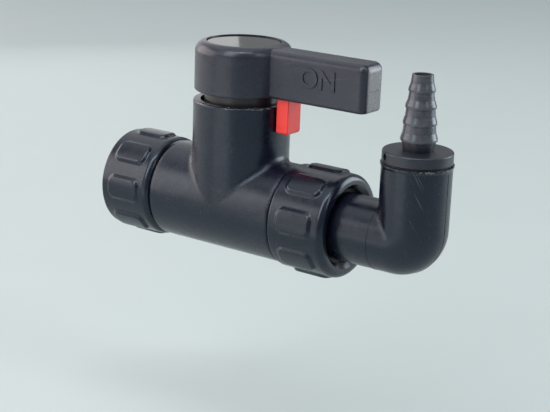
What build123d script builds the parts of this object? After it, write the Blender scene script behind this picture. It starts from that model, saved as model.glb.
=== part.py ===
from build123d import *
import os

# A canister drain tap, in millimetres. X runs along the tube from inlet to outlet and Z points
# up the chimney. The origin is the middle of the inlet gasket's outer face, where a neck seats.

# Union nuts: two alike, each with an open threaded mouth and a lip with a countersunk hole
NUT_LENGTH = 22.6
NUT_D = 37.4
NUT_WALL = 2.5
NUT_LIP_ROUND = 2.6
NUT_LIP_FLAT = 0.3
NUT_MOUTH_ROUND = 0.8
NUT_THREAD_LENGTH = 13.0
NUT_THREAD_LEAD_IN = 0.8
NUT_RELIEF_DEPTH = 0.7
NUT_LIP = 3.4
NUT_HOLE_D = 27.2
NUT_COUNTERSINK_D = 30.4
NUT_COUNTERSINK_DEPTH = 1.6

# Grip pads around each nut: length, width and corner are those of the pad's crown
PAD_COUNT = 8
PAD_FIRST_ANGLE = 10.0
INLET_NUT_TURN = 8.0
PAD_HEIGHT = 1.0
PAD_LENGTH = 13.2
PAD_FROM_MOUTH = 4.2
PAD_WIDTH = 7.0
PAD_CORNER = 2.2
PAD_DRAFT = 40.0
PAD_ROUND = 1.2
PAD_FOOT_ROUND = 0.8

# Union sealing: a flat gasket and a split ring in a groove behind each nut's lip
NUT_GAP = 0.6
GASKET_THICKNESS = 2.0
GASKET_THREAD_GAP = 0.8
GASKET_INNER_D = 18.8
TAIL_D = 24.3
RING_THICKNESS = 2.7
RING_RELIEF_GAP = 0.7
RING_GROOVE_DEPTH = 1.2
RING_PLAY = 0.2
RING_SPLIT = 7.0

# Tee body
TUBE_D = 36.0
CHIMNEY_D = 35.6
CHIMNEY_HEIGHT = 38.5
INLET_ARM = 28.6
OUTLET_ARM = 25.4
SEAM_FILLET = 2.0
EDGE_ROUND = 0.6
ARM_BORE_D = 18.0
ARM_BORE_FROM_AXIS = 19.0
WATERWAY_D = 11.0

# Plug: a cylinder below the rim, then a 1:6 cock taper down to a blind floor
PLUG_BORE_D = 30.4
PLUG_BELOW_RIM = 4.5
PLUG_CYLINDER_LENGTH = 15.0
TAPER_PER_MM = 1 / 12
PLUG_FLOOR = -8.5
PLUG_NECK_D = 27.6
PLUG_NECK_INTO_HUB = 2.0
DRIVE_SQUARE = 12.0
DRIVE_LENGTH = 8.2
SEAL_SECTION_D = 1.8
SEAL_GROOVE_WIDTH = 2.4
LOWER_SEAL_DEPTH = 10.0
UPPER_SEAL_DEPTH = 4.8
THRUST_WASHER_THICKNESS = 1.0
SNAP_RING_THICKNESS = 1.5
SNAP_RING_BITE = 0.9
SNAP_RING_SPLIT = 8.0

# Quarter-turn stop on the floor of the plug bore
QUARTER_TURN = 90.0
STOP_LUG_ANGLE = 26.0
STOP_LUG_INNER_R = 6.4
STOP_LUG_OUTER_R = 9.4
STOP_LUG_HEIGHT = 1.0
STOP_PLAY_ANGLE = 2.0

# Lever handle: a hollow hub and a lever that is a channel, open below
HUB_D = 35.0
HUB_GAP = 3.5
HUB_HEIGHT = 17.8
HUB_TOP_ROUND = 3.8
HUB_WALL = 2.3
HUB_ROOF = 2.6
BOSS_D = 20.0
LEVER_REACH = 55.7
LEVER_WIDTH = 12.5
LEVER_BELOW_HUB_TOP = 0.7
LEVER_ROUND = 3.0
LEVER_BOTTOM_ROUND = 1.2
LEVER_WALL = 2.05
LEVER_ROOF = 2.5
RIB_THICKNESS = 1.6
RIB_FROM_AXIS = 40.0
RIB_RECESS = 1.5

# Cap disc and the screw that it covers
DISC_D = 26.8
DISC_THICKNESS = 1.8
DISC_SUNK = 0.4
SCREW_D = 5.0
SCREW_LENGTH = 14.0
SCREW_HEAD_D = 8.6
SCREW_HEAD_HEIGHT = 2.0
SCREW_DRIVE = 3.0
SCREW_DRIVE_DEPTH = 1.3
WASHER_D = 10.0
WASHER_THICKNESS = 0.8

# Sprung lock tab under the lever's root
TAB_THICKNESS = 5.1
TAB_WIDTH = 8.0
TAB_BELOW_LEVER = 12.8
TAB_ROUND = 1.0
TAB_EDGE_ROUND = 0.4
TAB_TRAVEL = 4.5
TAB_HEAD_HEIGHT = 3.0
TAB_GUIDE_HEIGHT = 4.0
TAB_PIN_D = 3.4
SPRING_WIRE_D = 0.5
SPRING_D = 5.2
SPRING_TURNS = 3.5

# Outlet elbow
ELBOW_REACH = 73.9
ELBOW_BEND = 5.0
ELBOW_TOP = 27.9
ELBOW_RIM_D = 25.0
ELBOW_RIM_HEIGHT = 1.3
ELBOW_BORE_D = 13.0
SOCKET_D = 17.0
SOCKET_DEPTH = 11.0

# Hose barb: a flanged, screwed-in nozzle with four steps for hoses of 8 to 12 mm
BARB_GASKET_THICKNESS = 0.8
FLANGE_D = 24.2
FLANGE_TOP = 32.3
BARB_TOP = 58.0
BARB_PITCH = 5.55
BARB_LAND = 0.7
BARB_WAIST_SHARE = 0.5
BARB_STARTS_D = (7.2, 8.3, 9.7, 10.7)
BARB_ENDS_D = (9.1, 10.5, 11.5, 12.6)
BARB_NECK_D = 10.4
BARB_BORE_D = 5.6
BARB_SHANK_LENGTH = 10.0
SPANNER_HOLE_D = 2.2
SPANNER_HOLE_DEPTH = 3.0
SPANNER_HOLE_ANGLES = (-125.0, 55.0)

# Clearances
RUNNING = 0.1
LOOSE = 0.3
SEATED = 0.05

# What sits in a nut, from the nut's own size
NUT_THREAD_D = NUT_D - 2 * NUT_WALL
NUT_RELIEF_D = NUT_THREAD_D + 2 * NUT_RELIEF_DEPTH
SPIGOT_D = NUT_THREAD_D - 2 * LOOSE
GASKET_OUTER_D = NUT_THREAD_D - 2 * GASKET_THREAD_GAP
RING_OUTER_D = NUT_RELIEF_D - 2 * RING_RELIEF_GAP

# Places along the tube
LIP_FACE = NUT_LENGTH - NUT_LIP
RING_END = LIP_FACE - RING_PLAY
RING_START = RING_END - RING_THICKNESS
NECK_END = NUT_THREAD_LENGTH + GASKET_THICKNESS
INLET_NUT_X = -NUT_THREAD_LENGTH
INLET_SHOULDER = INLET_NUT_X + NUT_LENGTH + NUT_GAP
CHIMNEY_X = INLET_SHOULDER + INLET_ARM
OUTLET_SHOULDER = CHIMNEY_X + OUTLET_ARM
OUTLET_NUT_X = OUTLET_SHOULDER + NUT_GAP
SPIGOT_END = OUTLET_NUT_X + NUT_THREAD_LENGTH
TAIL_START = SPIGOT_END + GASKET_THICKNESS
ELBOW_X = CHIMNEY_X + ELBOW_REACH
TAB_INNER = max(CHIMNEY_D, HUB_D) / 2 + LOOSE
TAB_OUTER = TAB_INNER + TAB_THICKNESS

# Heights above the tube axis
PLUG_FLANGE_TOP = CHIMNEY_HEIGHT - PLUG_BELOW_RIM
TAPER_TOP = PLUG_FLANGE_TOP - PLUG_CYLINDER_LENGTH
SEAL_HEIGHTS = (PLUG_FLANGE_TOP - LOWER_SEAL_DEPTH, PLUG_FLANGE_TOP - UPPER_SEAL_DEPTH)
SNAP_RING_BOTTOM = PLUG_FLANGE_TOP + THRUST_WASHER_THICKNESS + RUNNING
HUB_BOTTOM = CHIMNEY_HEIGHT + HUB_GAP
HUB_TOP = HUB_BOTTOM + HUB_HEIGHT
PLUG_NECK_TOP = HUB_BOTTOM + PLUG_NECK_INTO_HUB
DRIVE_TOP = PLUG_NECK_TOP + DRIVE_LENGTH
DISC_TOP = HUB_TOP - DISC_SUNK
DISC_SEAT = DISC_TOP - DISC_THICKNESS
SCREW_SEAT = DISC_SEAT - SCREW_HEAD_HEIGHT - WASHER_THICKNESS - SEATED
LEVER_TOP = HUB_TOP - LEVER_BELOW_HUB_TOP
CHANNEL_TOP = LEVER_TOP - LEVER_ROOF
TAB_BOTTOM = HUB_BOTTOM - TAB_BELOW_LEVER
TAB_HEAD_BOTTOM = HUB_BOTTOM + TAB_GUIDE_HEIGHT + SEATED
TAB_HEAD_TOP = TAB_HEAD_BOTTOM + TAB_HEAD_HEIGHT
TAB_PIN_TOP = CHANNEL_TOP - TAB_TRAVEL - LOOSE
FLANGE_BOTTOM = ELBOW_TOP + BARB_GASKET_THICKNESS


# Form helpers

def outline(corners):
    """Flat face through (along, across, rounding) corners; a rounding of 0 keeps a corner sharp."""
    face = make_face(Polyline(*[(along, across) for along, across, _ in corners], close=True))
    for along, across, rounding in corners:
        if rounding:
            corner = face.vertices().sort_by_distance((along, across, 0))[0]
            face = fillet(corner, rounding)
    return face


def turned_x(corners):
    """Solid turned about the X axis from (x, radius, rounding) corners."""
    return revolve(outline(corners), Axis.X)


def turned_z(corners, axis_x):
    """Solid turned about an upright axis at axis_x from (z, radius, rounding) corners."""
    return Pos(axis_x, 0, 0) * Rot(0, -90, 0) * revolve(outline(corners), Axis.X)


def rod_x(radius, start, end):
    return turned_x([(start, 0, 0), (start, radius, 0), (end, radius, 0), (end, 0, 0)])


def rod_z(radius, bottom, top, axis_x):
    return turned_z([(bottom, 0, 0), (bottom, radius, 0), (top, radius, 0), (top, 0, 0)], axis_x)


def tube_x(outer, inner, start, end):
    return turned_x([(start, inner, 0), (start, outer, 0), (end, outer, 0), (end, inner, 0)])


def tube_z(outer, inner, bottom, top, axis_x):
    return turned_z([(bottom, inner, 0), (bottom, outer, 0), (top, outer, 0), (top, inner, 0)], axis_x)


def block(x_range, y_range, z_range):
    """Box between the given limits."""
    spans = [high - low for low, high in (x_range, y_range, z_range)]
    middle = [(high + low) / 2 for low, high in (x_range, y_range, z_range)]
    return Pos(*middle) * Box(*spans)


def arc_block(inner, outer, bottom, top, start_angle, end_angle):
    """Curved block round the chimney axis between two plan angles."""
    section = make_face(Polyline((inner, bottom), (outer, bottom), (outer, top), (inner, top), close=True))
    sweep_solid = revolve(Plane.XZ * section, Axis.Z, end_angle - start_angle)
    return Pos(CHIMNEY_X, 0, 0) * Rot(0, 0, start_angle) * sweep_solid


def bore_radius(height):
    """Radius of the plug bore at a height above the tube axis."""
    return PLUG_BORE_D / 2 - max(0, TAPER_TOP - height) * TAPER_PER_MM


# Union nuts, gaskets and split rings

def grip_pad():
    """One raised pad with sloping sides on top of a nut whose mouth is at the origin."""
    pad_top = NUT_D / 2 + PAD_HEIGHT
    crown = Plane((PAD_FROM_MOUTH + PAD_LENGTH / 2, 0, pad_top))
    flat = crown * RectangleRounded(PAD_LENGTH, PAD_WIDTH, PAD_CORNER)
    prism = extrude(flat, 2 * PAD_HEIGHT, dir=(0, 0, -1), taper=-PAD_DRAFT)
    pad = prism & rod_x(pad_top, 0, NUT_LENGTH)
    return fillet(pad.faces().sort_by(Axis.Z)[-1].edges(), PAD_ROUND)


def union_nut(mouth_x, turn):
    """Nut with its threaded mouth at mouth_x and its lip towards the outlet, screwed round by a turn."""
    thread = NUT_THREAD_D / 2
    lip_land = (NUT_D - NUT_COUNTERSINK_D) / 2
    nut = turned_x([
        (0, thread + NUT_THREAD_LEAD_IN, 0),
        (NUT_THREAD_LEAD_IN, thread, 0),
        (NUT_THREAD_LENGTH, thread, 0),
        (NUT_THREAD_LENGTH, NUT_RELIEF_D / 2, 0),
        (LIP_FACE, NUT_RELIEF_D / 2, 0),
        (LIP_FACE, NUT_HOLE_D / 2, 0),
        (NUT_LENGTH - NUT_COUNTERSINK_DEPTH, NUT_HOLE_D / 2, 0),
        (NUT_LENGTH, NUT_COUNTERSINK_D / 2, 0),
        (NUT_LENGTH, NUT_D / 2, min(NUT_LIP_ROUND, lip_land - NUT_LIP_FLAT)),
        (0, NUT_D / 2, NUT_MOUTH_ROUND),
    ])
    pad = grip_pad()
    first = 90 - PAD_FIRST_ANGLE + turn
    pads = [Rot(first + place * 360 / PAD_COUNT, 0, 0) * pad for place in range(PAD_COUNT)]
    gripped = nut + pads
    gripped = fillet(new_edges(nut, *pads, combined=gripped), PAD_FOOT_ROUND)
    return Pos(mouth_x, 0, 0) * gripped


def union_gasket(nut_x):
    start = nut_x + NUT_THREAD_LENGTH
    return tube_x(GASKET_OUTER_D / 2, GASKET_INNER_D / 2, start, start + GASKET_THICKNESS)


def split_ring(nut_x):
    """Ring in the tail's groove that bears on the nut's lip, cut through at the back."""
    inner = TAIL_D / 2 - RING_GROOVE_DEPTH + SEATED
    ring = tube_x(RING_OUTER_D / 2, inner, nut_x + RING_START, nut_x + RING_END)
    return ring - block((nut_x, nut_x + NUT_LENGTH), (0, RING_OUTER_D), (-RING_SPLIT / 2, RING_SPLIT / 2))


def tail_corners(nut_x):
    """Corners of a grooved tail that lies inside a nut, from its end face to the groove's far wall."""
    floor = TAIL_D / 2 - RING_GROOVE_DEPTH
    end = nut_x + NECK_END
    return [
        (end, 0, 0),
        (end, TAIL_D / 2, 0),
        (nut_x + RING_START - SEATED, TAIL_D / 2, 0),
        (nut_x + RING_START - SEATED, floor, 0),
        (nut_x + RING_END + SEATED, floor, 0),
        (nut_x + RING_END + SEATED, TAIL_D / 2, 0),
    ]


# Tee body

def plug_bore():
    """Space for the plug: mouth, snap ring groove, cylinder, taper and blind floor."""
    radius = PLUG_BORE_D / 2
    groove_top = SNAP_RING_BOTTOM + SNAP_RING_THICKNESS + SEATED
    return turned_z([
        (PLUG_FLOOR, 0, 0),
        (PLUG_FLOOR, bore_radius(PLUG_FLOOR), 0),
        (TAPER_TOP, radius, 0),
        (SNAP_RING_BOTTOM - SEATED, radius, 0),
        (SNAP_RING_BOTTOM - SEATED, radius + SNAP_RING_BITE, 0),
        (groove_top, radius + SNAP_RING_BITE, 0),
        (groove_top, radius, 0),
        (CHIMNEY_HEIGHT, radius, 0),
        (CHIMNEY_HEIGHT, 0, 0),
    ], CHIMNEY_X)


def stop_lug():
    half_lug = STOP_LUG_ANGLE / 2
    top = PLUG_FLOOR + STOP_LUG_HEIGHT
    return arc_block(STOP_LUG_INNER_R, STOP_LUG_OUTER_R, PLUG_FLOOR - EDGE_ROUND, top, -half_lug, half_lug)


def valve_body():
    """Tee with the inlet neck, the outlet spigot and the chimney that holds the plug."""
    tube_radius = TUBE_D / 2
    arms = turned_x(tail_corners(INLET_NUT_X) + [
        (INLET_SHOULDER, TAIL_D / 2, 0),
        (INLET_SHOULDER, tube_radius, EDGE_ROUND),
        (OUTLET_SHOULDER, tube_radius, EDGE_ROUND),
        (OUTLET_SHOULDER, 0, 0),
    ])
    arms += turned_x([
        (OUTLET_SHOULDER, 0, 0),
        (OUTLET_SHOULDER, SPIGOT_D / 2, 0),
        (SPIGOT_END, SPIGOT_D / 2, EDGE_ROUND),
        (SPIGOT_END, 0, 0),
    ])
    chimney = turned_z([
        (0, 0, 0),
        (0, CHIMNEY_D / 2, 0),
        (CHIMNEY_HEIGHT, CHIMNEY_D / 2, EDGE_ROUND),
        (CHIMNEY_HEIGHT, 0, 0),
    ], CHIMNEY_X)
    tee = arms + chimney
    seam = tee.edges().filter_by(lambda edge: edge.geom_type not in (GeomType.CIRCLE, GeomType.LINE))
    tee = fillet(seam, SEAM_FILLET)
    tee -= plug_bore()
    tee -= rod_x(WATERWAY_D / 2, GASKET_THICKNESS, SPIGOT_END)
    tee -= rod_x(ARM_BORE_D / 2, GASKET_THICKNESS, CHIMNEY_X - ARM_BORE_FROM_AXIS)
    tee -= rod_x(ARM_BORE_D / 2, CHIMNEY_X + ARM_BORE_FROM_AXIS, SPIGOT_END)
    return tee + stop_lug()


# Plug, its seals and what keeps it down

def valve_plug():
    """Tapered plug with the cross port, two seal grooves, a neck and a square for the handle."""
    radius = PLUG_BORE_D / 2 - RUNNING
    bottom = PLUG_FLOOR + LOOSE
    groove_floor = PLUG_BORE_D / 2 - SEAL_SECTION_D - 2 * SEATED
    corners = [(bottom, 0, 0), (bottom, bore_radius(bottom) - RUNNING, 0), (TAPER_TOP, radius, 0)]
    for height in SEAL_HEIGHTS:
        low = height - SEAL_GROOVE_WIDTH / 2
        high = height + SEAL_GROOVE_WIDTH / 2
        corners += [(low, radius, 0), (low, groove_floor, 0), (high, groove_floor, 0), (high, radius, 0)]
    corners += [
        (PLUG_FLANGE_TOP, radius, 0),
        (PLUG_FLANGE_TOP, PLUG_NECK_D / 2, 0),
        (PLUG_NECK_TOP, PLUG_NECK_D / 2, EDGE_ROUND),
        (PLUG_NECK_TOP, 0, 0),
    ]
    half_square = DRIVE_SQUARE / 2
    plug = turned_z(corners, CHIMNEY_X)
    plug += block((CHIMNEY_X - half_square, CHIMNEY_X + half_square), (-half_square, half_square),
                  (PLUG_NECK_TOP, DRIVE_TOP))
    plug -= rod_x(WATERWAY_D / 2, CHIMNEY_X - PLUG_BORE_D, CHIMNEY_X + PLUG_BORE_D)
    plug -= rod_z(SCREW_D / 2 + SEATED, SCREW_SEAT - SCREW_LENGTH - LOOSE, DRIVE_TOP, CHIMNEY_X)
    half_lug = STOP_LUG_ANGLE / 2 + STOP_PLAY_ANGLE
    return plug - arc_block(STOP_LUG_INNER_R - LOOSE, STOP_LUG_OUTER_R + LOOSE, bottom,
                            PLUG_FLOOR + STOP_LUG_HEIGHT + LOOSE, -QUARTER_TURN - half_lug, half_lug)


def plug_seal(height):
    """Round-section seal ring in a plug groove, just clear of the bore."""
    section = SEAL_SECTION_D / 2
    return Pos(CHIMNEY_X, 0, height) * Torus(PLUG_BORE_D / 2 - SEATED - section, section)


def thrust_washer():
    top = PLUG_FLANGE_TOP + THRUST_WASHER_THICKNESS
    return tube_z(PLUG_BORE_D / 2 - LOOSE, PLUG_NECK_D / 2 + RUNNING, PLUG_FLANGE_TOP, top, CHIMNEY_X)


def plug_retaining_ring():
    """Split snap ring in the chimney's groove that keeps the plug down."""
    top = SNAP_RING_BOTTOM + SNAP_RING_THICKNESS
    outer = PLUG_BORE_D / 2 + SNAP_RING_BITE - SEATED
    ring = tube_z(outer, PLUG_NECK_D / 2 + LOOSE, SNAP_RING_BOTTOM, top, CHIMNEY_X)
    split = (CHIMNEY_X - SNAP_RING_SPLIT / 2, CHIMNEY_X + SNAP_RING_SPLIT / 2)
    return ring - block(split, (0, PLUG_BORE_D), (SNAP_RING_BOTTOM, top))


# Lever handle, its screw and its cap

def lever_bar():
    """Outer form of the lever, with soft top and end edges."""
    half_width = LEVER_WIDTH / 2
    bar = block((CHIMNEY_X, CHIMNEY_X + LEVER_REACH), (-half_width, half_width), (HUB_BOTTOM, LEVER_TOP))
    end_face = bar.faces().sort_by(Axis.X)[-1]
    bar = fillet(end_face.edges().filter_by(Axis.Z), LEVER_ROUND)
    for place, rounding in ((-1, LEVER_ROUND), (0, LEVER_BOTTOM_ROUND)):
        flat = bar.faces().sort_by(Axis.Z)[place]
        bar = fillet(flat.edges().filter_by(lambda edge: edge.center().X > CHIMNEY_X), rounding)
    return bar


def lever_channel():
    """Hollow under the lever, with a guide rib for the lock tab and a stiffening rib."""
    half_channel = LEVER_WIDTH / 2 - LEVER_WALL
    far_end = CHIMNEY_X + LEVER_REACH - LEVER_ROOF
    width = (-half_channel, half_channel)
    channel = block((CHIMNEY_X, far_end), width, (HUB_BOTTOM, CHANNEL_TOP))
    channel -= rod_z(HUB_D / 2, HUB_BOTTOM, HUB_TOP, CHIMNEY_X)
    guide = CHIMNEY_X + TAB_OUTER + LOOSE
    channel -= block((guide, guide + RIB_THICKNESS), width, (HUB_BOTTOM, HUB_BOTTOM + TAB_GUIDE_HEIGHT))
    rib = CHIMNEY_X + RIB_FROM_AXIS
    return channel - block((rib, rib + RIB_THICKNESS), width, (HUB_BOTTOM + RIB_RECESS, CHANNEL_TOP))


def lever_handle():
    """Hub and lever in one moulding, hollow below, with a seat on top for the cap disc."""
    inner = HUB_D / 2 - HUB_WALL
    boss_bottom = PLUG_NECK_TOP + RUNNING
    handle = turned_z([
        (HUB_BOTTOM, 0, 0),
        (HUB_BOTTOM, HUB_D / 2, EDGE_ROUND),
        (HUB_TOP, HUB_D / 2, HUB_TOP_ROUND),
        (HUB_TOP, 0, 0),
    ], CHIMNEY_X)
    handle += lever_bar()
    handle -= lever_channel()
    handle -= rod_z(inner, HUB_BOTTOM, boss_bottom, CHIMNEY_X)
    handle -= tube_z(inner, BOSS_D / 2, boss_bottom, DISC_SEAT - HUB_ROOF, CHIMNEY_X)
    half_square = DRIVE_SQUARE / 2 + SEATED
    handle -= block((CHIMNEY_X - half_square, CHIMNEY_X + half_square), (-half_square, half_square),
                    (boss_bottom, DRIVE_TOP + RUNNING))
    handle -= rod_z(SCREW_D / 2 + RUNNING, boss_bottom, DISC_SEAT, CHIMNEY_X)
    handle -= rod_z(WASHER_D / 2 + RUNNING, SCREW_SEAT, DISC_SEAT, CHIMNEY_X)
    return handle - rod_z(DISC_D / 2 + RUNNING, DISC_SEAT, HUB_TOP, CHIMNEY_X)


def handle_washer():
    return tube_z(WASHER_D / 2, SCREW_D / 2 + RUNNING, SCREW_SEAT, SCREW_SEAT + WASHER_THICKNESS, CHIMNEY_X)


def handle_screw():
    """Pan head screw with a hexagon socket, down through the handle into the plug."""
    head_bottom = SCREW_SEAT + WASHER_THICKNESS
    head_top = head_bottom + SCREW_HEAD_HEIGHT
    screw = turned_z([
        (SCREW_SEAT - SCREW_LENGTH, 0, 0),
        (SCREW_SEAT - SCREW_LENGTH, SCREW_D / 2, EDGE_ROUND),
        (head_bottom, SCREW_D / 2, 0),
        (head_bottom, SCREW_HEAD_D / 2, 0),
        (head_top, SCREW_HEAD_D / 2, EDGE_ROUND),
        (head_top, 0, 0),
    ], CHIMNEY_X)
    socket_floor = Plane((CHIMNEY_X, 0, head_top - SCREW_DRIVE_DEPTH))
    hexagon = RegularPolygon(SCREW_DRIVE / 2, 6, major_radius=False)
    return screw - extrude(socket_floor * hexagon, SCREW_DRIVE_DEPTH)


def cap_disc():
    return turned_z([
        (DISC_SEAT, 0, 0),
        (DISC_SEAT, DISC_D / 2, 0),
        (DISC_TOP, DISC_D / 2, DISC_SUNK),
        (DISC_TOP, 0, 0),
    ], CHIMNEY_X)


# Lock tab and its spring

def lock_tab():
    """Bar that hangs beside the chimney, with a head that rests on the lever's guide rib."""
    inner = CHIMNEY_X + TAB_INNER
    outer = CHIMNEY_X + TAB_OUTER
    half_width = TAB_WIDTH / 2
    bar = block((inner, outer), (-half_width, half_width), (TAB_BOTTOM, TAB_HEAD_TOP))
    bar = fillet(bar.edges().filter_by(Axis.Z), TAB_EDGE_ROUND)
    bar = fillet(bar.faces().sort_by(Axis.Z)[0].edges(), TAB_ROUND)
    head = block((outer - TAB_ROUND, outer + LOOSE + RIB_THICKNESS), (-half_width, half_width),
                 (TAB_HEAD_BOTTOM, TAB_HEAD_TOP))
    pin = rod_z(TAB_PIN_D / 2, TAB_HEAD_TOP, TAB_PIN_TOP, (inner + outer) / 2)
    return bar + head + pin


def lock_spring():
    """Coil spring between the tab's head and the roof of the lever's channel."""
    wire = SPRING_WIRE_D / 2
    coil_radius = SPRING_D / 2 - wire
    height = CHANNEL_TOP - TAB_HEAD_TOP - SPRING_WIRE_D - 2 * SEATED
    path = Helix(height / SPRING_TURNS, height, coil_radius)
    wire_section = Plane(path @ 0, z_dir=path % 0) * Circle(wire)
    coil = sweep(wire_section, path, is_frenet=True)
    return Pos(CHIMNEY_X + (TAB_INNER + TAB_OUTER) / 2, 0, TAB_HEAD_TOP + wire + SEATED) * coil


# Outlet elbow and hose barb

def bend_sector(radius):
    """Outside of the tight bend: what of a round section lies beyond the bend's axis, turned 90 degrees."""
    section = Circle(radius) & Pos(0, ELBOW_BEND - radius, 0) * Rectangle(2 * radius, 2 * radius)
    bend_corner = (ELBOW_X - ELBOW_BEND, 0, 0)
    upright = Plane(bend_corner, x_dir=(0, -1, 0), z_dir=(-1, 0, 0)) * section
    return revolve(upright, Axis((ELBOW_X - ELBOW_BEND, 0, ELBOW_BEND), (0, -1, 0)), 90)


def outlet_elbow():
    """Elbow with a grooved tail, a bend tighter than its own radius and a socket for the barb."""
    radius = TAIL_D / 2
    bend_start = ELBOW_X - ELBOW_BEND
    elbow = turned_x(tail_corners(OUTLET_NUT_X) + [(bend_start, radius, 0), (bend_start, 0, 0)])
    elbow += turned_z([
        (ELBOW_BEND, 0, 0),
        (ELBOW_BEND, radius, 0),
        (ELBOW_TOP - ELBOW_RIM_HEIGHT, radius, 0),
        (ELBOW_TOP - ELBOW_RIM_HEIGHT / 2, ELBOW_RIM_D / 2, 0),
        (ELBOW_TOP, ELBOW_RIM_D / 2, 0),
        (ELBOW_TOP, 0, 0),
    ], ELBOW_X)
    elbow += bend_sector(radius)
    bore = ELBOW_BORE_D / 2
    elbow -= rod_x(bore, TAIL_START, ELBOW_X)
    elbow -= rod_z(bore, 0, ELBOW_TOP, ELBOW_X)
    elbow -= Pos(ELBOW_X, 0, 0) * Sphere(bore)
    return elbow - rod_z(SOCKET_D / 2, ELBOW_TOP - SOCKET_DEPTH, ELBOW_TOP, ELBOW_X)


def barb_gasket():
    return tube_z(FLANGE_D / 2 - EDGE_ROUND, SOCKET_D / 2 + RUNNING, ELBOW_TOP, FLANGE_BOTTOM, ELBOW_X)


def hose_barb():
    """Flanged nozzle: each step widens gently, flares to a short land and drops back."""
    shank_bottom = FLANGE_BOTTOM - BARB_SHANK_LENGTH
    corners = [
        (shank_bottom, 0, 0),
        (shank_bottom, SOCKET_D / 2 - SEATED, EDGE_ROUND),
        (FLANGE_BOTTOM, SOCKET_D / 2 - SEATED, 0),
        (FLANGE_BOTTOM, FLANGE_D / 2, 0),
        (FLANGE_TOP, FLANGE_D / 2, EDGE_ROUND),
        (FLANGE_TOP, BARB_NECK_D / 2, 0),
    ]
    for step in reversed(range(len(BARB_ENDS_D))):
        step_top = BARB_TOP - step * BARB_PITCH
        step_bottom = step_top - BARB_PITCH
        end = BARB_ENDS_D[step] / 2
        start = BARB_STARTS_D[step] / 2
        waist = start + (end - start) / 3
        corners += [
            (step_bottom, end - BARB_LAND / 2, 0),
            (step_bottom, end, 0),
            (step_bottom + BARB_LAND, end, 0),
            (step_top - BARB_WAIST_SHARE * BARB_PITCH, waist, 0),
            (step_top, start, 0),
        ]
    barb = turned_z(corners + [(BARB_TOP, 0, 0)], ELBOW_X)
    barb -= rod_z(BARB_BORE_D / 2, shank_bottom, BARB_TOP, ELBOW_X)
    hole_middle = (FLANGE_TOP + FLANGE_BOTTOM) / 2
    hole_start = FLANGE_D / 2 - SPANNER_HOLE_DEPTH
    for angle in SPANNER_HOLE_ANGLES:
        hole = rod_x(SPANNER_HOLE_D / 2, hole_start, FLANGE_D)
        barb -= Pos(ELBOW_X, 0, hole_middle) * Rot(0, 0, angle) * hole
    return barb


# Every piece by its node name

PIECES = {
    "valve_body": valve_body(),
    "inlet_union_nut": union_nut(INLET_NUT_X, INLET_NUT_TURN),
    "inlet_split_ring": split_ring(INLET_NUT_X),
    "inlet_gasket": union_gasket(INLET_NUT_X),
    "outlet_union_nut": union_nut(OUTLET_NUT_X, 0),
    "outlet_split_ring": split_ring(OUTLET_NUT_X),
    "outlet_gasket": union_gasket(OUTLET_NUT_X),
    "outlet_elbow": outlet_elbow(),
    "hose_barb": hose_barb(),
    "barb_gasket": barb_gasket(),
    "valve_plug": valve_plug(),
    "lower_plug_seal": plug_seal(SEAL_HEIGHTS[0]),
    "upper_plug_seal": plug_seal(SEAL_HEIGHTS[1]),
    "thrust_washer": thrust_washer(),
    "plug_retaining_ring": plug_retaining_ring(),
    "lever_handle": lever_handle(),
    "handle_screw": handle_screw(),
    "handle_washer": handle_washer(),
    "cap_disc": cap_disc(),
    "lock_tab": lock_tab(),
    "lock_spring": lock_spring(),
}

os.makedirs("parts", exist_ok=True)
for name, piece in PIECES.items():
    export_step(piece, f"parts/{name}.step")
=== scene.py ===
import bpy
import bmesh
import math
from mathutils import Matrix, Vector


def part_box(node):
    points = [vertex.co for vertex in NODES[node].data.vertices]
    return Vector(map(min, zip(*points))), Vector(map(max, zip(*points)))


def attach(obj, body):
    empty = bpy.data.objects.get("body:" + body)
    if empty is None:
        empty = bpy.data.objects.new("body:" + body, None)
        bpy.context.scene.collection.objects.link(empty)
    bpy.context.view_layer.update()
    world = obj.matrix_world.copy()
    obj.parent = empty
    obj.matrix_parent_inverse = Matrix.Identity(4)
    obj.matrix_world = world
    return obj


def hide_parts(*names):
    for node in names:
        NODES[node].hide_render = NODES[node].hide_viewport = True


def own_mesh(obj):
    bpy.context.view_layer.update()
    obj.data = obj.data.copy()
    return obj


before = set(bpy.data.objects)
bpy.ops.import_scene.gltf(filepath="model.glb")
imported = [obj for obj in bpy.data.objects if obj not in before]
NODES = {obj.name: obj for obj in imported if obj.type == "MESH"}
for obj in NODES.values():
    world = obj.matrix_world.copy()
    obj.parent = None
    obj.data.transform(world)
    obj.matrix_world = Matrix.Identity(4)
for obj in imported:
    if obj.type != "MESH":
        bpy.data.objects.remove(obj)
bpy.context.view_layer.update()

MM = 0.001
MICRON = 1e-6

# Places read from the frame
LEVER_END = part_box("lever_handle")[1].x
CHIMNEY_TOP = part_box("valve_body")[1].z
INLET_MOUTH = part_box("inlet_union_nut")[0].x
OUTLET_NUT_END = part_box("outlet_union_nut")[1].x
DISC_LOW, DISC_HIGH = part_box("cap_disc")
BARB_LOW, BARB_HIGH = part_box("hose_barb")
ELBOW_LOW, ELBOW_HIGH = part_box("outlet_elbow")
CHIMNEY = Vector(((DISC_LOW.x + DISC_HIGH.x) / 2, 0, 0))
ELBOW_X = (BARB_LOW.x + BARB_HIGH.x) / 2
ELBOW_RADIUS = -ELBOW_LOW.z

# Sizes repeated from the CAD model
FLANGE_TOP = 32.3 * MM
ELBOW_BEND = 5.0 * MM
LEVER_WIDTH = 12.5 * MM

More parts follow.
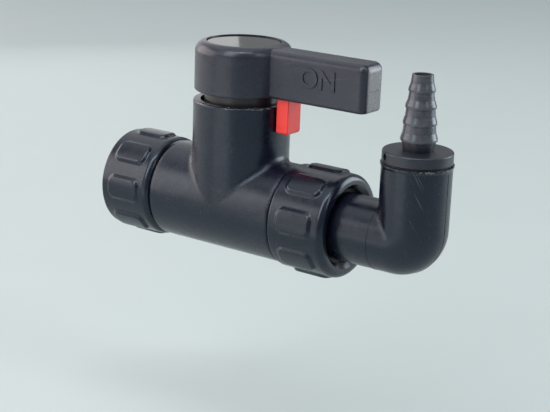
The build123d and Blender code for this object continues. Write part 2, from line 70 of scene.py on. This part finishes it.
# Thread inside the inlet nut: a one inch pipe thread
THREAD_ROOT = 16.25 * MM
THREAD_CREST = 15.2 * MM
THREAD_PITCH = 2.309 * MM
THREAD_ROOT_WIDTH = 1.8 * MM
THREAD_CREST_WIDTH = 0.5 * MM
THREAD_FROM_MOUTH = 2.2 * MM
THREAD_TURNS = 4.0
THREAD_STEPS = 96
THREAD_RUN_OUT = 0.25

# Lettering on the lever's two sides
LETTER_HEIGHT = 6.6 * MM
LETTER_RAISE = 0.34 * MM
LETTER_BEVEL = LETTER_RAISE / 4
LETTER_EMBOLDEN = 0.16 * MM
LETTER_FROM_CHIMNEY = 36.5 * MM
LETTER_BASE = 48.4 * MM
CAPITAL_SHARE = 0.7

# Fine lines left by the moulds
SEAM_WIDTH = 0.34 * MM
SEAM_HEIGHT = 0.10 * MM
SEAM_SINK = 0.05 * MM
SEAM_BELOW_RIM = 2.0 * MM
SEAM_ARC_STEPS = 24
TAIL_RING_X = 101.6 * MM
TAIL_RING_FROM = -230
TAIL_RING_SWEEP = 280
TAIL_RING_STEPS = 96
END_SEAM_HEIGHT = 49.6 * MM
END_SEAM_HALF = 3.1 * MM

# Camera, fitted to the outlines in the photograph, with its angles in degrees
LENS = 89.87
SENSOR = 36
AZIMUTH = 35.2346
ELEVATION = 16.4149
ROLL = 2.0808
CHIMNEY_IN_VIEW = Vector((-13.18, 1.975, -508.82)) * MM

# Stage: the floor lies below the reach of the barb when the elbow is turned down
FLOOR_HALF = 4.0
FLOOR_SQUARES = 8
FLOOR_CLEARANCE = 40 * MM
FLOOR_HEIGHT = -BARB_HIGH.z - FLOOR_CLEARANCE

# Light: the right edge of the back panel is mirrored in the cap disc
MIRRORED_EDGE = 127.6
BACK_PANEL_SIZE = (0.5, 0.42)
BACK_PANEL_DISTANCE = 0.85
WORLD_STRENGTH = 0.28
WORLD_COLOUR = (0.55, 0.70, 1.0, 1)
BACKDROP_COLOUR = (0.31, 0.325, 0.33, 1)
PURE_WHITE = (1, 1, 1)
WARM_WHITE = (1.0, 0.86, 0.80)
KEY_WHITE = (1.0, 0.95, 0.93)
COOL_WHITE = (0.94, 0.97, 1.0)

# Colours of the pieces, each as a dark and a light shade
JET = (0.0028, 0.0036, 0.0105), (0.0055, 0.0065, 0.0145)
CHARCOAL = (0.0135, 0.0148, 0.0235), (0.0210, 0.0226, 0.0315)
BARB_BLACK = (0.009, 0.009, 0.013), (0.015, 0.015, 0.020)
DISC_BLACK = (0.010, 0.010, 0.011), (0.016, 0.016, 0.017)
TAB_RED = (0.88, 0.040, 0.034), (0.94, 0.056, 0.046)
PLUG_BLACK = (0.014, 0.014, 0.017), (0.026, 0.026, 0.030)
RUBBER_BLACK = (0.010, 0.010, 0.011), (0.026, 0.026, 0.028)
# The rings' own black, deepened as painted shade in the gaps round them
RING_BLACK_AND_GAP_SHADE = (0.004, 0.004, 0.005), (0.008, 0.008, 0.009)
# Phosphated steel, kept dark as painted shade in the gap round the plug's neck
PHOSPHATE_AND_SHADE_GREY = (0.018, 0.018, 0.020), (0.045, 0.045, 0.048)
STEEL_GREY = (0.50, 0.50, 0.51), (0.66, 0.66, 0.67)
FLOOR_GREY = (0.480, 0.545, 0.520), (0.505, 0.565, 0.540)

# Colours of wear, partly also painted glints on the rims and painted light on the barb, and tints of the
# gloss
WEAR_AND_GLINT_GREY = (0.17, 0.167, 0.163)
SCUFF_AND_PAINTED_LIGHT_GREY = (0.165, 0.167, 0.190)
PALE_GREY = (0.235, 0.232, 0.230)
COOL_SHEEN = (0.72, 0.87, 1.0, 1)
PALE_SHEEN = (0.80, 0.87, 1.0, 1)

# Surfaces: creases below a height are shaded as fillets, and noise is stretched into marks
CREASE_SAMPLES = 6
CREASE_RADIUS = 2.2 * MM
CREASE_TOP = 26 * MM
CREASE_FADE = 2 * MM
PLASTIC_IOR = 1.53
BARB_IOR = 1.6
NOISE_RANGE = (0.3, 0.7)
DRIFT_RANGE = (0.35, 0.65)
HAIR_SCRATCHES = (1, 1, 60)
TURNED_RINGS = (20, 20, 1)
BRUSH_MARKS = (1, 1, 16)
WIPE_STREAKS = (9, 1, 1)
FLOW_MARKS = (1, 1, 5)
SMOOTHER = 0.04
ROUGHER = 0.05
WAVE_DEPTH = 22 * MICRON
SINK_MARK_DEPTH = 50 * MICRON
NICK_AND_GLINT_SHARE = 0.8


# Materials

class Finish:
    """A procedural material in the making, with coordinates in metres and one Principled shader."""

    def __init__(self, name):
        self.material = bpy.data.materials.new(name)
        self.material.use_nodes = True
        self.nodes = self.material.node_tree.nodes
        self.links = self.material.node_tree.links
        self.shader = self.nodes["Principled BSDF"]
        self.place = self.nodes.new("ShaderNodeTexCoord").outputs["Object"]
        self.normal = None

    def feed(self, socket, value):
        """Links a socket to another one, or sets its own value."""
        if isinstance(value, bpy.types.NodeSocket):
            self.links.new(value, socket)
        else:
            socket.default_value = value

    def add(self, kind, inputs, **settings):
        """A new node with its settings and inputs, each input a value or another node's socket."""
        node = self.nodes.new("ShaderNode" + kind)
        for name, value in settings.items():
            setattr(node, name, value)
        for name, value in inputs.items():
            self.feed(node.inputs[name], value)
        return node

    def noise(self, scale, detail=2.0, stretch=(1, 1, 1), turn=(0, 0, 0)):
        """Noise with features one over scale metres across, drawn out by stretch in a turned frame."""
        rotation = [math.radians(angle) for angle in turn]
        frame_inputs = {"Vector": self.place, "Scale": stretch, "Rotation": rotation}
        drawn = self.add("Mapping", frame_inputs, vector_type="TEXTURE").outputs["Vector"]
        return self.add("TexNoise", {"Vector": drawn, "Scale": scale, "Detail": detail}).outputs["Fac"]

    def speckle(self, scale):
        """Distance to the nearest of scattered points, for specks."""
        return self.add("TexVoronoi", {"Vector": self.place, "Scale": scale}).outputs["Distance"]

    def axis(self, letter):
        """The place along one axis."""
        return self.add("SeparateXYZ", {"Vector": self.place}).outputs[letter]

    def spread(self, value, low, high, to_low, to_high):
        """Maps a value from one range to another, held at the ends."""
        inputs = {"Value": value, "From Min": low, "From Max": high, "To Min": to_low, "To Max": to_high}
        return self.add("MapRange", inputs).outputs["Result"]

    def mask(self, value, low, high, full=1):
        """Nothing where a value is low, rising to full where it is high."""
        return self.spread(value, low, high, to_low=0, to_high=full)

    def product(self, first, second):
        return self.add("Math", {0: first, 1: second}, operation="MULTIPLY").outputs[0]

    def colour(self, factor, first, second):
        """A colour between two others; each may be a colour or a socket."""
        node = self.add("Mix", {"Factor": factor}, data_type="RGBA")
        sockets = [socket for socket in node.inputs if socket.type == "RGBA"]
        for socket, colour in zip(sockets, (first, second)):
            self.feed(socket, colour if isinstance(colour, bpy.types.NodeSocket) else (*colour, 1))
        return next(socket for socket in node.outputs if socket.type == "RGBA")

    def set(self, **inputs):
        """Sets inputs of the shader, whose names have underscores here for spaces."""
        for name, value in inputs.items():
            self.feed(self.shader.inputs[name.replace("_", " ")], value)

    def paint(self, factor, shades):
        """Colours the surface from the dark to the light one of two shades."""
        self.set(Base_Color=self.colour(factor, *shades))

    def overlay(self, factor, colour):
        """Lays another colour over the base colour."""
        base = self.shader.inputs["Base Color"].links[0].from_socket
        self.set(Base_Color=self.colour(factor, base, colour))

    def gloss(self, pattern, smooth, rough):
        """Varies the roughness with a noise pattern."""
        self.set(Roughness=self.spread(pattern, *NOISE_RANGE, to_low=smooth, to_high=rough))

    def round_creases(self):
        """Shades the creases below CREASE_TOP as if they were filleted."""
        radius = self.spread(self.axis("Z"), CREASE_TOP - CREASE_FADE, CREASE_TOP, CREASE_RADIUS, 0)
        self.normal = self.add("Bevel", {"Radius": radius}, samples=CREASE_SAMPLES).outputs["Normal"]

    def relief(self, *layers):
        """Bumps the surface by (height socket, depth in metres) layers, one over the other."""
        for height, depth in layers:
            inputs = {"Height": height, "Distance": depth, "Strength": 1.0}
            if self.normal:
                inputs["Normal"] = self.normal
            self.normal = self.add("Bump", inputs).outputs["Normal"]
        self.feed(self.shader.inputs["Normal"], self.normal)


def moulded(finish, shades, roughness, grain, scratch_turn=(0, 35, 35)):
    """Black moulded plastic: slow colour drift, uneven gloss, fine grain, hair scratches and dust."""
    finish.paint(finish.mask(finish.noise(scale=45, detail=3), *DRIFT_RANGE), shades)
    hairs = finish.noise(scale=2300, detail=1, stretch=HAIR_SCRATCHES, turn=scratch_turn)
    worn = finish.mask(finish.noise(scale=70), low=0.45, high=0.66)
    finish.overlay(finish.product(finish.mask(hairs, low=0.66, high=0.75, full=0.26), worn), WEAR_AND_GLINT_GREY)
    specks = finish.spread(finish.speckle(scale=420), low=0.04, high=0.10, to_low=1, to_high=0)
    dusty = finish.mask(finish.noise(scale=160), low=0.62, high=0.75, full=0.3)
    finish.overlay(finish.product(specks, dusty), WEAR_AND_GLINT_GREY)
    finish.gloss(finish.noise(scale=260, detail=3), roughness - SMOOTHER, roughness + ROUGHER)
    finish.relief(
        (finish.noise(scale=3600), grain),
        (finish.noise(scale=140), WAVE_DEPTH),
        (finish.noise(scale=55, detail=1), SINK_MARK_DEPTH),
    )
    finish.set(IOR=PLASTIC_IOR, Specular_Tint=COOL_SHEEN)


def pale_nicks_and_glints(finish, top, start_depth, full_depth):
    """Pale nicks along an upper edge, partly real nicks and partly painted glints, from one depth below
    its top and at their most above another.
    """
    edge = finish.mask(finish.axis("Z"), top - start_depth, top - full_depth)
    # Pale marks for nicks, standing partly for painted glints along the edge
    nicks_and_glints = finish.mask(finish.noise(scale=1100, detail=3), low=0.5, high=0.62, full=NICK_AND_GLINT_SHARE)
    patches = finish.spread(finish.noise(scale=110, detail=1), low=0.42, high=0.6, to_low=0.15, to_high=1)
    finish.overlay(finish.product(finish.product(edge, nicks_and_glints), patches), WEAR_AND_GLINT_GREY)


def body_plastic():
    """The body's plastic, with pale nicks and painted glints along the chimney's rim."""
    finish = Finish("body_plastic")
    finish.round_creases()
    moulded(finish, JET, roughness=0.26, grain=9 * MICRON)
    pale_nicks_and_glints(finish, CHIMNEY_TOP, start_depth=0.5 * MM, full_depth=0.2 * MM)
    return finish.material


def nut_plastic():
    finish = Finish("nut_plastic")
    moulded(finish, JET, roughness=0.24, grain=8 * MICRON, scratch_turn=(0, 70, 35))
    return finish.material


def lever_plastic():
    """The lever's plastic: its end face is mottled and paler."""
    finish = Finish("lever_plastic")
    moulded(finish, CHARCOAL, roughness=0.29, grain=14 * MICRON, scratch_turn=(0, 78, 0))
    finish.set(Specular_Tint=PALE_SHEEN)
    end = finish.mask(finish.axis("X"), low=LEVER_END - 0.3 * MM, high=LEVER_END - 0.08 * MM)
    mottle = finish.spread(finish.noise(scale=1300, detail=4), low=0.32, high=0.66, to_low=0.55, to_high=1)
    finish.overlay(finish.product(end, mottle), PALE_GREY)
    return finish.material


def elbow_plastic():
    """The elbow's plastic, with a rough pale bead at its rim, partly painted glints."""
    finish = Finish("elbow_plastic")
    finish.round_creases()
    moulded(finish, JET, roughness=0.25, grain=9 * MICRON, scratch_turn=(0, -30, 35))
    pale_nicks_and_glints(finish, ELBOW_HIGH.z, start_depth=0.9 * MM, full_depth=0.5 * MM)
    return finish.material


def barb_plastic():
    """Turned black plastic: fine rings from the tool, paler on the steps from scuffs and from painted
    light on their sides.
    """
    finish = Finish("barb_plastic")
    rings = finish.noise(scale=2400, stretch=TURNED_RINGS)
    finish.paint(finish.mask(finish.noise(scale=160), *DRIFT_RANGE), BARB_BLACK)
    steps = finish.mask(finish.axis("Z"), low=FLANGE_TOP + 0.5 * MM, high=FLANGE_TOP + 3 * MM)
    # Paler above the flange: scuffs, and painted light that brightens the barb's sides
    scuffs_and_painted_light = finish.spread(finish.noise(scale=420, detail=3), *NOISE_RANGE, to_low=0.16, to_high=0.38)
    finish.overlay(finish.product(steps, scuffs_and_painted_light), SCUFF_AND_PAINTED_LIGHT_GREY)
    finish.overlay(finish.mask(rings, low=0.62, high=0.8, full=0.12), WEAR_AND_GLINT_GREY)
    step_gloss = finish.spread(rings, *NOISE_RANGE, to_low=0.24, to_high=0.32)
    finish.set(Roughness=finish.spread(steps, low=0, high=1, to_low=0.4, to_high=step_gloss))
    finish.relief((rings, 5 * MICRON))
    finish.set(IOR=BARB_IOR, Specular_Tint=COOL_SHEEN)
    return finish.material


def cap_gloss():
    """Polished black disc with faint streaks from wiping."""
    finish = Finish("cap_gloss")
    streaks = finish.noise(scale=900, detail=3, stretch=WIPE_STREAKS, turn=(0, 0, 50))
    finish.paint(finish.noise(scale=80), DISC_BLACK)
    finish.set(Roughness=finish.spread(streaks, low=0.4, high=0.7, to_low=0.03, to_high=0.10))
    finish.relief((finish.noise(scale=120, detail=1), 3 * MICRON), (streaks, 2 * MICRON))
    return finish.material


def red_plastic():
    finish = Finish("red_plastic")
    flow = finish.noise(scale=250, stretch=FLOW_MARKS)
    finish.paint(finish.noise(scale=300, detail=3), TAB_RED)
    finish.gloss(finish.noise(scale=700), smooth=0.30, rough=0.42)
    finish.relief((finish.noise(scale=3000), 10 * MICRON), (flow, 25 * MICRON))
    finish.set(Subsurface_Weight=0.12, Subsurface_Scale=1.5 * MM)
    return finish.material


def plug_plastic():
    finish = Finish("plug_plastic")
    rings = finish.noise(scale=1800, stretch=TURNED_RINGS)
    finish.paint(rings, PLUG_BLACK)
    finish.gloss(finish.noise(scale=300), smooth=0.28, rough=0.38)
    finish.relief((rings, 8 * MICRON))
    return finish.material


def seal_rubber():
    """Black rubber with a pale bloom."""
    finish = Finish("seal_rubber")
    finish.paint(finish.mask(finish.noise(scale=220, detail=4), low=0.45, high=0.75), RUBBER_BLACK)
    finish.gloss(finish.noise(scale=500), smooth=0.6, rough=0.8)
    finish.relief((finish.noise(scale=2500, detail=3), 20 * MICRON))
    return finish.material


def ring_plastic():
    """Dull black plastic of the rings inside the nuts and the chimney, deepened to near-black with little
    gloss as painted shade in the gaps where they show.
    """
    finish = Finish("ring_plastic")
    # The rings' black, deepened as painted shade in the gaps
    finish.paint(finish.noise(scale=150, detail=3), RING_BLACK_AND_GAP_SHADE)
    finish.gloss(finish.noise(scale=600), smooth=0.38, rough=0.52)
    finish.relief((finish.noise(scale=2800), 12 * MICRON))
    finish.set(Specular_IOR_Level=0.2)
    return finish.material


def dark_steel():
    """Phosphated spring steel, kept dark as painted shade in the gap between the hub and the chimney's
    rim.
    """
    finish = Finish("dark_steel")
    coat = finish.noise(scale=1600, detail=4)
    # Dark phosphate, also painted shade in the gap under the hub
    finish.paint(coat, PHOSPHATE_AND_SHADE_GREY)
    finish.gloss(coat, smooth=0.45, rough=0.62)
    finish.relief((coat, 12 * MICRON))
    return finish.material


def steel():
    finish = Finish("steel")
    brushed = finish.noise(scale=3000, stretch=BRUSH_MARKS)
    finish.paint(brushed, STEEL_GREY)
    finish.gloss(brushed, smooth=0.2, rough=0.36)
    finish.relief((brushed, 8 * MICRON))
    finish.set(Metallic=1.0)
    return finish.material


def floor_paint():
    finish = Finish("floor_paint")
    finish.paint(finish.noise(scale=3, detail=3), FLOOR_GREY)
    finish.gloss(finish.noise(scale=20), smooth=0.55, rough=0.65)
    finish.relief((finish.noise(scale=900), 20 * MICRON))
    return finish.material


def dress(material, *names):
    """Gives CAD nodes a material."""
    for name in names:
        mesh = NODES[name].data
        mesh.materials.clear()
        mesh.materials.append(material)


BODY_PLASTIC = body_plastic()
NUT_PLASTIC = nut_plastic()
LEVER_PLASTIC = lever_plastic()
ELBOW_PLASTIC = elbow_plastic()
STEEL = steel()
dress(BODY_PLASTIC, "valve_body")
dress(NUT_PLASTIC, "inlet_union_nut", "outlet_union_nut")
dress(LEVER_PLASTIC, "lever_handle")
dress(ELBOW_PLASTIC, "outlet_elbow")
dress(barb_plastic(), "hose_barb")
dress(cap_gloss(), "cap_disc")
dress(red_plastic(), "lock_tab")
dress(plug_plastic(), "valve_plug")
dress(seal_rubber(), "inlet_gasket", "outlet_gasket", "barb_gasket", "lower_plug_seal", "upper_plug_seal")
dress(ring_plastic(), "inlet_split_ring", "outlet_split_ring", "thrust_washer")
dress(dark_steel(), "plug_retaining_ring")
dress(STEEL, "handle_screw", "handle_washer")


# Pieces of the scene's own

def piece(name, mesh, material, body):
    """Adds a mesh as a piece that rides on a body."""
    mesh.materials.clear()
    mesh.materials.append(material)
    made = bpy.data.objects.new(name, mesh)
    bpy.context.scene.collection.objects.link(made)
    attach(made, body)
    return made


def swept(name, sections):
    """Closed mesh through cross-sections of equally many points, capped at both ends."""
    mesh = bmesh.new()
    loops = [[mesh.verts.new(point) for point in section] for section in sections]
    mesh.faces.new(loops[0])
    mesh.faces.new(loops[-1])
    for first, second in zip(loops, loops[1:]):
        for corner in range(len(first)):
            mesh.faces.new((first[corner - 1], first[corner], second[corner], second[corner - 1]))
    bmesh.ops.recalc_face_normals(mesh, faces=mesh.faces)
    data = bpy.data.meshes.new(name)
    mesh.to_mesh(data)
    mesh.free()
    return data


def inlet_thread():
    """Ridge of the inlet nut's thread, a helix that rises from the bore and dies out at both ends."""
    sections = []
    for step in range(int(THREAD_TURNS * THREAD_STEPS) + 1):
        turns = step / THREAD_STEPS
        rise = min(1, turns / THREAD_RUN_OUT, (THREAD_TURNS - turns) / THREAD_RUN_OUT)
        crest = THREAD_ROOT - rise * (THREAD_ROOT - THREAD_CREST)
        middle = INLET_MOUTH + THREAD_FROM_MOUTH + turns * THREAD_PITCH
        angle = turns * math.tau
        profile = ((-THREAD_ROOT_WIDTH, THREAD_ROOT), (-THREAD_CREST_WIDTH, crest),
                   (THREAD_CREST_WIDTH, crest), (THREAD_ROOT_WIDTH, THREAD_ROOT))
        sections.append([(middle + along / 2, radius * math.cos(angle), radius * math.sin(angle))
                         for along, radius in profile])
    piece("inlet_thread", swept("inlet_thread", sections), NUT_PLASTIC, "inlet_nut")


def seam(name, path, across, material, body):
    """Fine raised line along (point, outward direction) pairs, with its feet just under the surface."""
    side = across * (SEAM_WIDTH / 2)
    sections = []
    for point, outward in path:
        foot = point - outward * SEAM_SINK
        sections.append((foot - side, point + outward * SEAM_HEIGHT, foot + side))
    piece(name, swept(name, sections), material, body)


def elbow_seam():
    """Parting line round the outside of the elbow, from below its rim to the outlet nut."""
    reach = ELBOW_BEND + ELBOW_RADIUS
    middle = Vector((ELBOW_X - ELBOW_BEND, 0, ELBOW_BEND))
    path = [(Vector((ELBOW_X + ELBOW_RADIUS, 0, ELBOW_HIGH.z - SEAM_BELOW_RIM)), Vector((1, 0, 0)))]
    for step in range(SEAM_ARC_STEPS + 1):
        angle = math.radians(90 * step / SEAM_ARC_STEPS)
        outward = Vector((math.cos(angle), 0, -math.sin(angle)))
        path.append((middle + outward * reach, outward))
    path.append((Vector((OUTLET_NUT_END, 0, -ELBOW_RADIUS)), Vector((0, 0, -1))))
    seam("elbow_seam", path, Vector((0, 1, 0)), ELBOW_PLASTIC, "outlet")


def tail_ring():
    """Witness line of the core round the elbow's tail, short of the inside of the bend."""
    middle = Vector((TAIL_RING_X, 0, 0))
    path = []
    for step in range(TAIL_RING_STEPS + 1):
        angle = math.radians(TAIL_RING_FROM + TAIL_RING_SWEEP * step / TAIL_RING_STEPS)
        outward = Vector((0, -math.cos(angle), math.sin(angle)))
        path.append((middle + outward * ELBOW_RADIUS, outward))
    seam("tail_ring", path, Vector((1, 0, 0)), ELBOW_PLASTIC, "outlet")


def lever_end_seam():
    """Parting line across the lever's end face."""
    outward = Vector((1, 0, 0))
    ends = [Vector((LEVER_END, side * END_SEAM_HALF, END_SEAM_HEIGHT)) for side in (-1, 1)]
    path = [(end, outward) for end in ends]
    seam("lever_end_seam", path, Vector((0, 0, 1)), BODY_PLASTIC, "handle")


def lever_word(name, word, side):
    """A plain raised word on one side of the lever: side is -1 for its front and 1 for its back."""
    curve = bpy.data.curves.new(name, "FONT")
    curve.body = word
    curve.align_x = "CENTER"
    curve.size = LETTER_HEIGHT / CAPITAL_SHARE
    curve.offset = LETTER_EMBOLDEN
    curve.extrude = LETTER_RAISE
    curve.bevel_depth = LETTER_BEVEL
    writing = bpy.data.objects.new(name + "_writing", curve)
    bpy.context.scene.collection.objects.link(writing)
    bpy.context.view_layer.update()
    mesh = bpy.data.meshes.new_from_object(writing.evaluated_get(bpy.context.evaluated_depsgraph_get()))
    bpy.data.objects.remove(writing)
    upright = Matrix.Rotation(math.radians(90), 4, "X")
    turn = Matrix.Rotation(math.radians(180 if side > 0 else 0), 4, "Z")
    place = Matrix.Translation((CHIMNEY.x + LETTER_FROM_CHIMNEY, side * LEVER_WIDTH / 2, LETTER_BASE))
    mesh.transform(place @ turn @ upright)
    piece(name, mesh, LEVER_PLASTIC, "handle")


def lock_coil():
    """The lock's spring in the lever's channel, as a piece of the scene's own with its own copy of the
    mesh.
    """
    coil = piece("lock_coil", NODES["lock_spring"].data.copy(), STEEL, "handle")
    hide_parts("lock_spring")
    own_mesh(coil)


inlet_thread()
elbow_seam()
tail_ring()
lever_end_seam()
lever_word("lever_word_on", "ON", -1)
lever_word("lever_word_off", "OFF", 1)
lock_coil()


# Stage, light and camera

def studio_floor():
    bpy.ops.mesh.primitive_grid_add(x_subdivisions=FLOOR_SQUARES, y_subdivisions=FLOOR_SQUARES,
                                    size=2 * FLOOR_HALF, location=(CHIMNEY.x, 0, FLOOR_HEIGHT))
    floor = bpy.context.object
    floor.name = "studio_floor"
    floor.data.materials.append(floor_paint())
    return floor


def direction(bearing, height_angle):
    """Unit vector at a bearing, from +X towards +Y, and an angle above the level, both in degrees."""
    bearing = math.radians(bearing)
    height_angle = math.radians(height_angle)
    level = math.cos(height_angle)
    return Vector((math.cos(bearing) * level, math.sin(bearing) * level, math.sin(height_angle)))


def softbox(name, bearing, height_angle, distance, size, radiance, colour=PURE_WHITE):
    """Area light that faces the tap from a direction; radiance sets its brightness."""
    away = direction(bearing, height_angle)
    light = bpy.data.lights.new(name, "AREA")
    light.shape = "RECTANGLE"
    light.size, light.size_y = size
    light.energy = radiance * math.pi * light.size * light.size_y
    light.color = colour
    lamp = bpy.data.objects.new(name, light)
    lamp.location = CHIMNEY + away * distance
    lamp.visible_camera = False
    lamp.rotation_mode = "QUATERNION"
    lamp.rotation_quaternion = away.to_track_quat("Z", "Y")
    bpy.context.scene.collection.objects.link(lamp)
    return lamp


def keep_light_off(lamp, unlit):
    """Keeps the light of a lamp off one object."""
    kept_off = bpy.data.collections.new(lamp.name + "_kept_off")
    kept_off.objects.link(unlit)
    kept_off.collection_objects[0].light_linking.link_state = "EXCLUDE"
    lamp.light_linking.receiver_collection = kept_off


def half_angle(width, distance):
    """Angle in degrees from the middle of a panel to its edge, seen from the tap."""
    return math.degrees(math.atan(width / 2 / distance))


def studio_world():
    """A dim bluish surround that lights the tap, seen and mirrored as a pale backdrop."""
    world = bpy.data.worlds.new("studio")
    world.use_nodes = True
    nodes = world.node_tree.nodes
    links = world.node_tree.links
    lit = nodes["Background"]
    lit.inputs["Color"].default_value = WORLD_COLOUR
    lit.inputs["Strength"].default_value = WORLD_STRENGTH
    seen = nodes.new("ShaderNodeBackground")
    seen.inputs["Color"].default_value = BACKDROP_COLOUR
    rays = nodes.new("ShaderNodeLightPath")
    direct = rays.outputs["Is Camera Ray"]
    for kind in ("Is Glossy Ray", "Is Transmission Ray"):
        either = nodes.new("ShaderNodeMath")
        either.operation = "MAXIMUM"
        links.new(direct, either.inputs[0])
        links.new(rays.outputs[kind], either.inputs[1])
        direct = either.outputs[0]
    mixed = nodes.new("ShaderNodeMixShader")
    links.new(direct, mixed.inputs["Fac"])
    links.new(lit.outputs["Background"], mixed.inputs[1])
    links.new(seen.outputs["Background"], mixed.inputs[2])
    links.new(mixed.outputs["Shader"], nodes["World Output"].inputs["Surface"])
    bpy.context.scene.world = world


def studio_light(floor):
    """Panels round the tap, and narrow glints for its edges."""
    studio_world()
    softbox("left_panel", bearing=200.5, height_angle=18, distance=1.8, size=(2.4, 1.40), radiance=2.95,
            colour=WARM_WHITE)
    low_panel = softbox("low_panel", bearing=260, height_angle=-1, distance=0.32, size=(0.22, 0.20),
                        radiance=0.95, colour=WARM_WHITE)
    keep_light_off(low_panel, floor)
    softbox("key_panel", bearing=268, height_angle=44, distance=1.0, size=(0.36, 0.85), radiance=5.2,
            colour=KEY_WHITE)
    softbox("right_glint", bearing=350, height_angle=38, distance=1.0, size=(0.12, 0.5), radiance=6.0)
    softbox("rim_glint", bearing=312, height_angle=66, distance=1.2, size=(0.42, 0.12), radiance=13.0)
    softbox("top_panel", bearing=200, height_angle=78, distance=2.6, size=(2.8, 2.8), radiance=0.86)
    softbox("right_panel", bearing=52, height_angle=16, distance=1.6, size=(1.0, 1.0), radiance=5.4,
            colour=COOL_WHITE)
    softbox("far_panel", bearing=125, height_angle=42, distance=3.2, size=(3.0, 1.4), radiance=0.66)
    back_bearing = MIRRORED_EDGE + half_angle(BACK_PANEL_SIZE[0], BACK_PANEL_DISTANCE)
    softbox("back_panel", bearing=back_bearing, height_angle=14, distance=BACK_PANEL_DISTANCE,
            size=BACK_PANEL_SIZE, radiance=0.72)


def photo_camera():
    """Camera at the photograph's angle, placed so that the chimney falls where the photograph has it."""
    back = direction(AZIMUTH - 90, ELEVATION)
    right = direction(AZIMUTH, 0)
    up = back.cross(right)
    roll = math.radians(ROLL)
    tilted_right = math.cos(roll) * right + math.sin(roll) * up
    tilted_up = math.cos(roll) * up - math.sin(roll) * right
    turn = Matrix((tilted_right, tilted_up, back)).transposed()
    data = bpy.data.cameras.new("photo_camera")
    data.lens = LENS
    data.sensor_width = SENSOR
    data.sensor_fit = "HORIZONTAL"
    camera = bpy.data.objects.new("photo_camera", data)
    camera.matrix_world = Matrix.Translation(CHIMNEY - turn @ CHIMNEY_IN_VIEW) @ turn.to_4x4()
    bpy.context.scene.collection.objects.link(camera)
    bpy.context.scene.camera = camera


studio_light(studio_floor())
photo_camera()
bpy.context.scene.view_settings.view_transform = "Standard"
